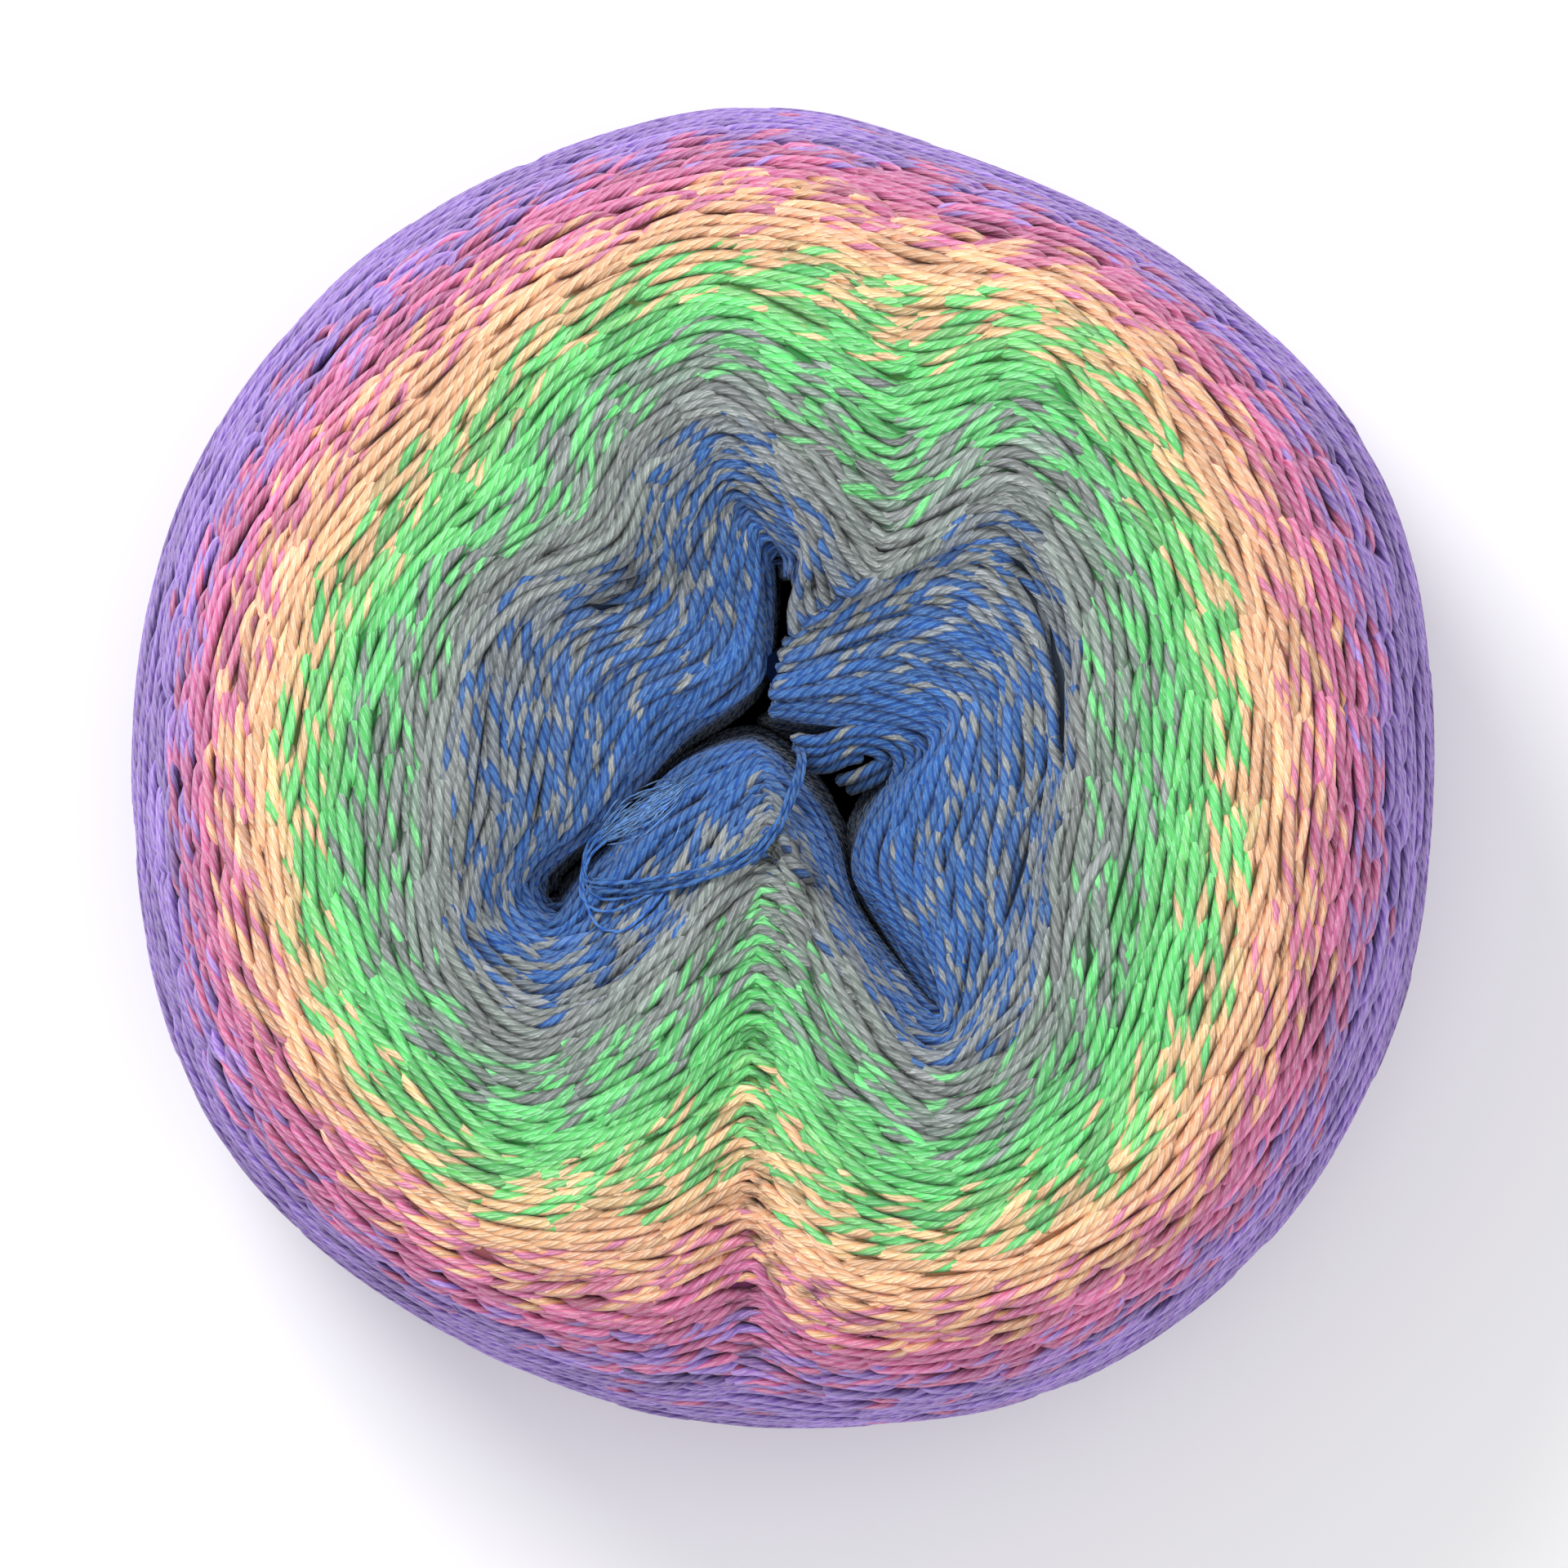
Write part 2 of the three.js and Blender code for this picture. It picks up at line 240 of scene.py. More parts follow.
def buildRows():
    # the whole skin as rows of columns: walls of the slit, top, side, base
    perFold = form["perFold"]
    columns = perFold * len(folds)
    place = (np.arange(columns) / perFold)[None]
    girth = layerOutlines(np.array([1.0]), perFold)[0]
    coarse = layerOutlines(np.array([1.0]), 8)[0]
    centre = (coarse.max(0) + coarse.min(0)) / 2
    rimFrom = skin["rimFrom"]
    rimLayers = rimFrom + (1 - rimFrom) * np.sin(np.linspace(0, math.pi / 2, skin["rimRows"]))[1:]
    layers = np.concatenate([np.linspace(0, rimFrom, skin["topRows"]), rimLayers])
    outlines = layerOutlines(layers, perFold)
    heights = topHeight(layers[:, None], place)
    heights = heights - pitsAt(outlines[..., 0], outlines[..., 1])[1]
    top = np.concatenate([outlines - centre, heights[..., None]], 2)
    drops = np.linspace(form["wallDepth"], 0.5, skin["wallRows"])[:, None]
    inward, room = roomAcross(outlines[0])
    comeIn = np.minimum(skin["wallRoom"] * room, form["wallSlope"])[None]
    comeIn = comeIn * smooth(drops / form["wallDepth"] / skin["wallEven"])
    wallPlaces = top[:1, :, :2] + inward[None] * comeIn[..., None]
    wall = np.concatenate([wallPlaces, (heights[:1] - drops)[..., None]], 2)
    profile = np.array(lowerProfile, float)
    girthRadius = 75
    steps = np.hypot(np.diff(profile[:, 0]) * girthRadius, np.diff(profile[:, 1]))
    along = np.concatenate([[0], np.cumsum(steps)])
    fine = np.linspace(0, along[-1], int(along[-1] / skin["sideStep"]))[1:]
    scale, height = np.interp(fine, along, profile[:, 0]), np.interp(fine, along, profile[:, 1])
    scale, height = rounded(scale), np.maximum(rounded(height), 0)
    lower = np.concatenate([
        (girth - centre)[None] * scale[:, None, None],
        np.repeat(height[:, None, None], columns, 1),
    ], 2)
    shares = np.concatenate([
        np.zeros(len(wall)),
        areaOf(outlines) / areaOf(girth),
        np.where(height > 9, 1.0, np.minimum(1, (scale + 0.02) ** 2)),
    ])
    rows = np.concatenate([wall, top, lower])
    firstSide = len(wall) + len(top)
    marks = {
        "lip": len(wall),
        "shoulder": len(wall) + int(np.searchsorted(layers, skin["shoulder"])),
        "girth": firstSide,
        "heel": firstSide + int(np.argmax(height < skin["heelHeight"])),
        "end": len(rows) - 6,
    }
    layerOfRow = np.concatenate([np.zeros(len(wall)), layers, np.ones(len(lower))])
    return rows, shares, layerOfRow, marks, centre


rows, shares, layerOfRow, marks, centre = buildRows()
rowCount, columnCount = rows.shape[:2]
columnEdges = np.arange(columnCount + 1)
alongColumns = np.roll(rows, -1, 1) - rows
# along each row, straight out of the skin, and lengths along and across the rows
tangents = np.roll(rows, -1, 1) - np.roll(rows, 1, 1)
tangents /= np.linalg.norm(tangents, axis=2)[..., None]
outward = unit(np.cross(np.gradient(rows, axis=0), tangents))
girthAlong = np.cumsum(np.linalg.norm(alongColumns, axis=2), 1)
girthAlong = np.concatenate([np.zeros((rowCount, 1)), girthAlong], 1)
rise = np.diff(rows, axis=0)
rise -= np.sum(rise * tangents[:-1], 2)[..., None] * tangents[:-1]
across = np.concatenate([np.zeros((1, columnCount)), np.cumsum(np.linalg.norm(rise, axis=2), 0)])
print("skin", rowCount, "rows", columnCount, "columns", marks)


def skinAt(row, column):
    # place and outward direction at fractional rows and columns
    row = np.clip(row, 0, rowCount - 1.001)
    r, c = np.floor(row).astype(int), np.floor(column).astype(int)
    fr, fc = (row - r)[..., None], (column - c)[..., None]
    c0, c1 = c % columnCount, (c + 1) % columnCount
    values = []
    for grid in (rows, outward):
        low = grid[r, c0] * (1 - fc) + grid[r, c1] * fc
        high = grid[r + 1, c0] * (1 - fc) + grid[r + 1, c1] * fc
        values.append(low * (1 - fr) + high * fr)
    return values[0], unit(values[1])


# four threads and six colours, with one thread changed at a time
palette = [  # from the middle outwards, sRGB
    (75, 123, 181),
    (158, 162, 162),
    (136, 215, 150),
    (238, 204, 172),
    (216, 146, 180),
    (178, 154, 212),
]


def toLinear(c):
    c = np.asarray(c, float) / 255
    return np.where(c <= 0.04045, c / 12.92, ((c + 0.055) / 1.055) ** 2.4)


paletteLinear = toLinear(palette)
# how much of a turn the next colour fills, for 0 to 3 threads of it
threadShares = np.array([0, 3, 6, 9]) / 12
dye = {
    "changes": 21,  # steps of one thread from the middle to the outside
    "wrapFrom": 0.74,  # from this share on the layers also wrap the shoulder
    "wrapMore": 0.42,
    "uneven": 0.014,  # how far a turn's colour wanders, as a share of the yarn's length
    "outerUneven": 0.8,  # how much more it wanders outside outerFrom
    "outerFrom": 0.85,
    "rimWide": 0.028,  # the last colours reach further in at the left and right
    "rimLess": 0.012,
    "bright": (1.04, 0.09),  # middle and spread of the turns' brightness
    "brightLimits": (0.84, 1.2),
    "plainMixed": 0.05,  # fibres of the next colour where a turn has one colour
    "mixed": 0.16,  # the same where it has two
    "toneSpread": 0.05,
}


def dyeAt(share):
    # share of the yarn's length -> the colour's number, the next one's and how much of that shows
    share = share + dye["wrapMore"] * np.maximum(0, share - dye["wrapFrom"])
    step = np.floor(dye["changes"] * np.clip(share, 0, 1)).astype(int)
    first, second = (np.clip(step // 4 + k, 0, len(palette) - 1) for k in (0, 1))
    return first, second, threadShares[step % 4]


shadow = {
    "inPits": 0.7,  # how much light is lost
    "inSlit": 0.8,
    "slitReach": 36,  # mm from the middle
    "slitStart": 0.5,  # mm below the lip
    "slitFade": 5,
    "pitsAbove": 15,  # mm above the girth
}


def dimming(path):
    # turns deep in the slit or in a pit get little light
    felt = pitsAt(path[..., 0] + centre[0], path[..., 1] + centre[1])[0]
    felt = np.where(path[..., 2] > form["girthHeight"] + shadow["pitsAbove"], felt, 0)
    lip = form["height"] - form["dishDepth"] - form["lipDrop"]
    deep = smooth((lip - shadow["slitStart"] - path[..., 2]) / shadow["slitFade"])
    deep = deep * (np.hypot(path[..., 0], path[..., 1]) < shadow["slitReach"])
    return (1 - shadow["inPits"] * felt) * (1 - shadow["inSlit"] * deep)


plunge = [  # between these places turns of the innermost layers go down into the slit
    {"from": 3.0, "to": 3.9, "layer": 0.23},
    {"from": 16.93, "to": 17.07, "layer": 0.07},
]


def insidePlunge(layer, column):
    at = np.asarray(column) / form["perFold"]
    inside = []
    for v in plunge:
        between = (v["from"] - 0.05 < at) & (at < v["to"] + 0.05)  # with a little room around it
        inside.append(between & (layer < v["layer"] + 0.02))
    return np.any(inside, axis=0)


strand = {
    "radius": 0.75,  # mm
    "flat": 0.9,  # height as a share of the width
    "corners": (-130, -75, -25, 25, 75, 130),  # degrees from the outward direction
    "tip": 0.45,  # how thick the ends are
    "thickSpread": 0.05,
    "thickLimits": (0.88, 1.12),
    "underFrom": 0.02,  # painted shade: how far below its widest place a strand begins to be light, and over how much
    "underOver": 0.85,
    "underShadeBase": 0.05,  # painted shade: how light the underside is, and how much a light colour adds to it
    "underShadeTint": 0.55,
}
# rows that have turns, how long and how far apart these are (mm), sections, lean in degrees, bow, how deep
# the ends sink (mm) and how tight the twist is; some also stand proud, lie rough, are thick or shift along
zones = [
    {"name": "turns_wall", "rows": (2, "lip"), "along": 18, "apart": 1.3, "sections": 13,
     "lean": 1.5, "bow": 0, "sink": 1.3, "twist": 1, "proud": 0.35},
    {"name": "turns_middle", "rows": ("lip", 0.46), "along": 15, "apart": 1.42, "sections": 20,
     "lean": 5.5, "bow": 0, "sink": 1.5, "twist": 0.88, "rough": 0.32, "thick": 1.06},
    {"name": "turns_top", "rows": (0.46, "shoulder"), "along": 9.5, "apart": 1.2, "sections": 13,
     "lean": 5.5, "bow": 0.5, "sink": 1.5, "twist": 0.7},
    {"name": "turns_side", "rows": ("shoulder", "heel"), "along": 15, "apart": 1.05, "sections": 12,
     "lean": 3.5, "bow": 0.3, "sink": 1.4, "twist": 0.7, "shift": 5},
    {"name": "turns_base", "rows": ("heel", "end"), "along": 15, "apart": 1.3, "sections": 9,
     "lean": 3.0, "bow": 0.3, "sink": 1.3, "twist": 0.7, "shift": 5},
]
laying = {
    "seedStep": 1.3,  # mm between the places that are tried along a row
    "seedRows": 90,  # rows back that can still lie within one strand's width
    "half": 0.86,  # half of a turn's length, as a share of its zone's
    "lengths": (0.85, 1.15),
    "bowSpread": 0.8,
    "bowRadius": 62,  # mm, of the girth's curve
    "slopeRows": 6,  # rows to either side that give the way across
    "mostRows": 26,  # how far a turn may leave its row
    "endsFrom": 0.42,  # share of the half length where the ends begin to sink, and over how much
    "endsOver": 0.58,
    "rough": 0.19,
    "crown": 0.12,  # how much the middle rises
    "least": 0.55,  # how deep every turn's middle line lies at least, in radii
    "plungeDepth": 5,  # mm
    "aboveFloor": 1.05,  # in radii
}
cover = {
    "across": 0.62,  # mm to either side that a turn hides
    "mostRows": 60,
    "fillAlong": 4.5,  # mm to either side that a filler hides along its row
    "fillColumns": 40,
    "fillAcross": 1.0,
    "fillShorter": 0.6,
    "fillDeeper": 0.2,
}
mostTriangles = 190000  # in one piece


def rowOf(mark):
    if isinstance(mark, str):
        return marks[mark]
    if isinstance(mark, float):
        return marks["lip"] + int(np.searchsorted(layerOfRow[marks["lip"]:marks["girth"]], mark))
    return mark


def seedTurns():
    # each new turn starts where nothing lies within its length along and one strand's width across
    seeds = []
    live = np.zeros((0, 2))
    for zone, z in enumerate(zones):
        for row in range(rowOf(z["rows"][0]), rowOf(z["rows"][1])):
            total = girthAlong[row, -1]
            live = live[live[:, 0] > row - laying["seedRows"]]
            starts = (rng.random() + np.arange(int(total / laying["seedStep"]))) * laying["seedStep"]
            columns = np.interp(starts, girthAlong[row], columnEdges)
            for start, column in zip(starts, columns):
                if insidePlunge(layerOfRow[row], column):
                    continue
                if len(live):
                    there = np.interp(live[:, 1], columnEdges, girthAlong[row])
                    along = np.abs(there - start)
                    along = np.minimum(along, total - along)
                    gap = np.abs(live[:, 1] - column)
                    both = live[:, 1] + column
                    middle = np.where(gap > columnCount / 2, both + columnCount, both) / 2
                    middle = middle.astype(int) % columnCount
                    apart = across[row, middle] - across[live[:, 0].astype(int), middle]
                    if np.any((along < z["along"]) & (apart < z["apart"])):
                        continue
                live = np.vstack([live, [row, column]])
                seeds.append((zone, row, column))
    return np.array(seeds)


def turnPaths(z, seeds, shorter=1.0, deeper=0.0):
    # centre lines, outward directions and the places they pass, row and column
    count, sections = len(seeds), z["sections"]
    half = z["along"] * laying["half"] * shorter * rng.uniform(*laying["lengths"], count)
    s = np.linspace(-1, 1, sections)[None] * half[:, None]
    row = seeds[:, 1].astype(int)
    column = np.empty((count, sections))
    down = np.zeros((count, sections))
    shift = rng.uniform(-1, 1, count) * z.get("shift", 0) * (shorter == 1)
    for k in range(count):
        lengths = girthAlong[row[k]]
        total = lengths[-1]
        start = np.interp(seeds[k, 2], columnEdges, lengths)
        at = start + shift[k] + s[k]
        for v in plunge:
            if layerOfRow[row[k]] < v["layer"]:
                ends = (v["from"] * form["perFold"], v["to"] * form["perFold"])
                first, last = np.interp(ends, columnEdges, lengths)
                if start <= first:
                    down[k] += np.maximum(0, at - first)
                    at = np.minimum(at, first)
                elif start >= last:
                    down[k] += np.maximum(0, last - at)
                    at = np.maximum(at, last)
        turns = np.floor(at / total)
        column[k] = np.interp(at - turns * total, lengths, columnEdges) + turns * columnCount
    lean = np.tan(np.radians(rng.normal(0, z["lean"], count)))[:, None]
    bow = rng.normal(z["bow"], laying["bowSpread"], count)[:, None]
    offset = lean * s + bow * s * s / (2 * laying["bowRadius"])
    c = np.floor(column).astype(int) % columnCount
    r0 = np.clip(row, 1, rowCount - 2)[:, None]
    near, most = laying["slopeRows"], laying["mostRows"]
    above, below = np.minimum(r0 + near, rowCount - 1), np.maximum(r0 - near, 0)
    perRow = (across[above, c] - across[below, c]) / (2 * near)
    rowsAt = row[:, None] + np.clip(offset / np.maximum(perRow, 0.05), -most, most)
    if z["name"] in ("turns_wall", "turns_middle"):
        rowsAt = np.maximum(rowsAt, 1)
    point, normal = skinAt(rowsAt, column)
    end = np.abs(s) / half[:, None]
    depth = strand["radius"] + 0.05 + deeper
    depth = depth + z["sink"] * smooth((end - laying["endsFrom"]) / laying["endsOver"])
    roughness = rng.normal(0, z.get("rough", laying["rough"]), count)[:, None]
    depth = depth + roughness - laying["crown"] * (1 - end**2)
    depth = np.maximum(depth, strand["radius"] * laying["least"]) - z.get("proud", 0)
    path = point - normal * depth[..., None]
    lowest = laying["aboveFloor"] * strand["radius"]
    path[..., 2] = np.maximum(path[..., 2] - np.minimum(down, laying["plungeDepth"]), lowest)
    return path, normal, s, rowsAt, column, perRow


def coverSkin(covered, rowsAt, column, perRow):
    # marks what the shown middle of each turn covers
    hidden = rowsAt.shape[1] // 5  # sections at each end
    shown = slice(hidden, rowsAt.shape[1] - hidden)
    r, c = rowsAt[:, shown].ravel(), column[:, shown].ravel()
    step = np.maximum(perRow[:, shown].ravel(), 0.02)
    reach = np.minimum(cover["across"] / step, cover["mostRows"])
    for shift in (-0.5, 0, 0.5):
        at = np.floor(c + shift).astype(int) % columnCount
        for low, high, k in zip(np.maximum(r - reach, 0).astype(int), (r + reach).astype(int) + 1, at):
            covered[low:high, k] = True


def fillSeeds(zone, z, covered):
    # short turns where the skin is still bare
    seeds = []
    for row in range(rowOf(z["rows"][0]), rowOf(z["rows"][1])):
        bare = np.flatnonzero(~covered[row])
        for column in bare[rng.permutation(len(bare))]:
            lengths = girthAlong[row]
            if covered[row, column] or insidePlunge(layerOfRow[row], column):
                continue
            seeds.append((zone, row, column + 0.5))
            near = np.abs(lengths[:-1] - lengths[column]) < cover["fillAlong"]
            near &= np.abs(np.arange(columnCount) - column) < cover["fillColumns"]
            for k in np.flatnonzero(near):
                high = np.searchsorted(across[:, k], across[row, k] + cover["fillAcross"])
                covered[row:high, k] = True
    return np.array(seeds).reshape(-1, 3)


def strandMesh(name, path, normal, s, thick, colour, second, portion, twist):
    # path and normal are strands x sections x 3, the two colours strands x 3 and linear;
    # portion is how much of a turn the second colour fills
    count, sections = path.shape[:2]
    sides = len(strand["corners"])
    ahead = unit(np.gradient(path, axis=1))
    side = unit(np.cross(ahead, normal))
    up = np.cross(side, ahead)
    angle = np.radians(strand["corners"])
    taper = np.ones(sections)
    taper[[0, -1]] = strand["tip"]
    reach = thick[:, None, None, None] * taper[:, None, None]
    outwards = (strand["flat"] * np.cos(angle))[:, None] * up[:, :, None]
    ring = path[:, :, None] + reach * (outwards + np.sin(angle)[:, None] * side[:, :, None])
    index = np.arange(count * sections * sides).reshape(count, sections, sides)
    a, b = index[:, :-1], index[:, 1:]
    faces = np.stack([a, np.roll(a, -1, 2), np.roll(b, -1, 2), b], -1).reshape(-1, 4)
    # painted shade: the undersides of the turns are darker, as they lie deep in the wound layers
    round360 = np.append(angle, angle[0] + 2 * math.pi)
    shade = smooth((np.cos(round360) + strand["underFrom"]) / strand["underOver"])[None, None, :, None]
    dim = dimming(path)[:, :, None, None]
    shades = []
    for paint in (colour, second):
        paint = paint[:, None, None]
        under = strand["underShadeBase"] + strand["underShadeTint"] * paint
        shades.append(paint * (shade + (1 - shade) * under) * dim)
    portions = np.broadcast_to(portion[:, None, None, None], shades[0].shape[:3] + (1,))
    # the map for baking has one strip for each strand, in rows
    stripColumns = max(1, int(math.sqrt(count / 6)))
    stripRows = math.ceil(count / stripColumns)
    k = np.arange(count)
    u0, v0 = (k % stripColumns) / stripColumns, (k // stripColumns) / stripRows
    alongStrip = (np.linspace(0.02, 0.98, sections) / stripColumns)[None, :, None]
    acrossStrip = (np.linspace(0.05, 0.95, sides + 1) / stripRows)[None, None, :]
    u = u0[:, None, None] + alongStrip + np.zeros((1, 1, sides + 1))
    v = v0[:, None, None] + acrossStrip + np.zeros((1, sections, 1))
    bake = np.stack([u, v], -1)
    lengthwise = np.stack([
        np.repeat(s[..., None], sides + 1, 2),
        (round360 + twist[:, None, None]) / (2 * math.pi) + np.zeros((1, sections, 1)),
    ], -1)
    grids = [bake, lengthwise, np.concatenate([shades[0], portions], -1), shades[1]]
    return makeMesh(name, ring.reshape(-1, 3) * mm, faces, *(corners(g) for g in grids))


def corners(grid):
    # values at the rows and columns of a grid -> values at the corners of its faces
    near, far = grid[..., :-1, :, :], grid[..., 1:, :, :]
    quads = [near[..., :-1, :], near[..., 1:, :], far[..., 1:, :], far[..., :-1, :]]
    return np.stack(quads, -2).reshape(-1, grid.shape[-1])


def placed(name, data):
    obj = bpy.data.objects.new(name, data)
    bpy.context.scene.collection.objects.link(obj)
    return obj


def makeMesh(name, vertices, faces, bakeMap, threadMap, colours, seconds):
    mesh = bpy.data.meshes.new(name)
    size = faces.shape[1]
    mesh.vertices.add(len(vertices))
    mesh.vertices.foreach_set("co", np.ascontiguousarray(vertices, np.float32).ravel())
    mesh.loops.add(faces.size)
    mesh.loops.foreach_set("vertex_index", np.ascontiguousarray(faces, np.int32).ravel())
    mesh.polygons.add(len(faces))
    mesh.polygons.foreach_set("loop_start", np.arange(0, faces.size, size, dtype=np.int32))
    mesh.update(calc_edges=True)
    mesh.polygons.foreach_set("use_smooth", np.ones(len(faces), bool))
    for mapName, values in (("OFBake", bakeMap), ("threadMap", threadMap)):
        if values is not None:
            layer = mesh.uv_layers.new(name=mapName)
            layer.data.foreach_set("uv", np.ascontiguousarray(values, np.float32).ravel())
    for colourName, values in (("yarnColour", colours), ("secondColour", seconds)):
        if values is not None:
            attribute = mesh.color_attributes.new(colourName, "BYTE_COLOR", "CORNER")
            rgba = np.ones((faces.size, 4), np.float32)
            rgba[:, :values.shape[1]] = np.clip(values, 0, 1)
            attribute.data.foreach_set("color", rgba.ravel())
    mesh.validate()
    return placed(name, mesh)


def newMaterial(name, surface):
    mat = bpy.data.materials.new(name)
    mat.use_nodes = True
    shader = mat.node_tree.nodes["Principled BSDF"]
    for key, value in surface.items():
        shader.inputs[key].default_value = value
    return mat, shader, mat.node_tree.nodes, mat.node_tree.links


def yarnMaterial(name, look):
    # twisted threads with plies and fibres, in two colours that wind round each other, with painted shade
    # in the grooves
    mat, shader, nodes, links = newMaterial(name, look["surface"])

    def node(kind, **values):
        made = nodes.new("ShaderNode" + kind)
        for key, value in values.items():
            setattr(made, key, value)
        return made

    def put(value, socket):
        if isinstance(value, (int, float)):
            socket.default_value = value
        else:
            links.new(value, socket)

    def calc(operation, *terms):
        made = node("Math", operation=operation)
        for k, value in enumerate(terms):
            put(value, made.inputs[k])
        return made.outputs[0]

    def blend(factor, a, b):
        made = node("Mix", data_type="RGBA")
        for value, place in ((factor, 0), (a, 6), (b, 7)):
            links.new(value, made.inputs[place])
        return made.outputs[2]

    def scaled(colour, factor):
        made = node("VectorMath", operation="SCALE")
        links.new(colour, made.inputs[0])
        put(factor, made.inputs["Scale"])
        return made.outputs[0]

    # the strand's two colours, and where a point lies along and around it
    first = node("VertexColor", layer_name="yarnColour")
    second = node("VertexColor", layer_name="secondColour")
    where = node("UVMap", uv_map="threadMap").outputs["UV"]
    parts = node("SeparateXYZ")
    links.new(where, parts.inputs[0])
    along, around = parts.outputs["X"], parts.outputs["Y"]
    stretch = node("Mapping")
    stretch.inputs["Scale"].default_value = (look["fibreLength"], look["fibreScale"], 1)
    links.new(where, stretch.inputs["Vector"])
    noise = node("TexNoise")
    noise.inputs["Scale"].default_value = 1.0
    noise.inputs["Detail"].default_value = 3.0
    links.new(stretch.outputs["Vector"], noise.inputs["Vector"])
    loosen = calc("MULTIPLY", noise.outputs["Fac"], look["uneven"])
    turn = calc("FRACT", calc("ADD", calc("ADD", around, loosen), calc("DIVIDE", along, look["pitch"])))
    half = calc("MULTIPLY", first.outputs["Alpha"], 0.5)
    away = calc("ABSOLUTE", calc("WRAP", calc("SUBTRACT", turn, half), 0.5, -0.5))
    inside = calc("MULTIPLY", calc("SUBTRACT", half, away), 1 / look["edge"])
    secondShows = calc("MAXIMUM", calc("MINIMUM", inside, 1), 0)
    colour = blend(secondShows, first.outputs["Color"], second.outputs["Color"])

    def ridges(count):
        wave = calc("COSINE", calc("MULTIPLY", turn, 2 * math.pi * count))
        return calc("MULTIPLY_ADD", wave, -0.5, 0.5)  # 0 in a groove, 1 on a crown

    threads, plies = ridges(look["threads"]), ridges(2 * look["threads"])
    fibres = node("MapRange")
    levels = {"From Min": 0.3, "From Max": 0.7, "To Min": look["fibreDark"], "To Max": look["fibreLight"]}
    for key, value in levels.items():
        fibres.inputs[key].default_value = value
    links.new(noise.outputs["Fac"], fibres.inputs["Value"])
    # painted shade: grooves between threads and plies are a darker, deeper tone of the same colour
    deep = node("VectorMath", operation="MULTIPLY_ADD")
    for k in (0, 1):
        links.new(colour, deep.inputs[k])
    links.new(scaled(colour, look["grooveLight"]), deep.inputs[2])
    height = calc("MULTIPLY", threads, calc("MULTIPLY_ADD", plies, look["plyDepth"], 1 - look["plyDepth"]))
    crown = calc("POWER", height, look["grooveWidth"])
    painted = blend(crown, deep.outputs[0], scaled(colour, fibres.outputs["Result"]))
    links.new(painted, shader.inputs["Base Color"])
    bump = node("Bump")
    bump.inputs["Strength"].default_value = look["bump"]
    bump.inputs["Distance"].default_value = look["bumpHeight"] * mm
    fuzz = calc("MULTIPLY", noise.outputs["Fac"], look["fuzz"])
    links.new(calc("ADD", fuzz, height), bump.inputs["Height"])
    links.new(bump.outputs["Normal"], shader.inputs["Normal"])
    return mat


turnYarn = yarnMaterial("turnYarn", {
    "surface": {"Roughness": 0.8, "Specular IOR Level": 0.25, "Sheen Weight": 0.2, "Sheen Roughness": 0.45},
    "threads": 4,
    "pitch": 6.3,  # mm for one whole twist
    "fibreLength": 0.5,
    "fibreScale": 9.0,
    "fibreDark": 0.85,
    "fibreLight": 1.5,
    "uneven": 0.14,
    "edge": 0.05,  # of a turn, over which one colour becomes the other
    "plyDepth": 0.7,  # how deep the fine plies are beside the four threads
    # painted shade: how wide the darkened grooves are, and how light their colour stays
    "grooveWidth": 0.7,
    "grooveLight": 0.1,
    "bump": 1.0,
    "bumpHeight": 0.3,
    "fuzz": 0.4,  # how much the fibres add to the bump
})


def innerMaterial():
    # plain and dull, in the colours of the layers with painted shade
    mat, shader, nodes, links = newMaterial("innerYarn", {"Roughness": 1.0, "Specular IOR Level": 0.05})
    colour = nodes.new("ShaderNodeVertexColor")
    colour.layer_name = "yarnColour"
    links.new(colour.outputs["Color"], shader.inputs["Base Color"])
    return mat


innerYarn = innerMaterial()
innerLayers = {
    "inset": 1.35,  # mm below the skin
    "wallStep": 6,  # rows from one to the next
    "step": 5,
    "columnStep": 2,
    "layerShade": 0.7,
    "paleness": 0.05,
    "hiddenLight": 0.1,  # light where turns go down into the slit
    "hiddenLayer": 0.02,
}


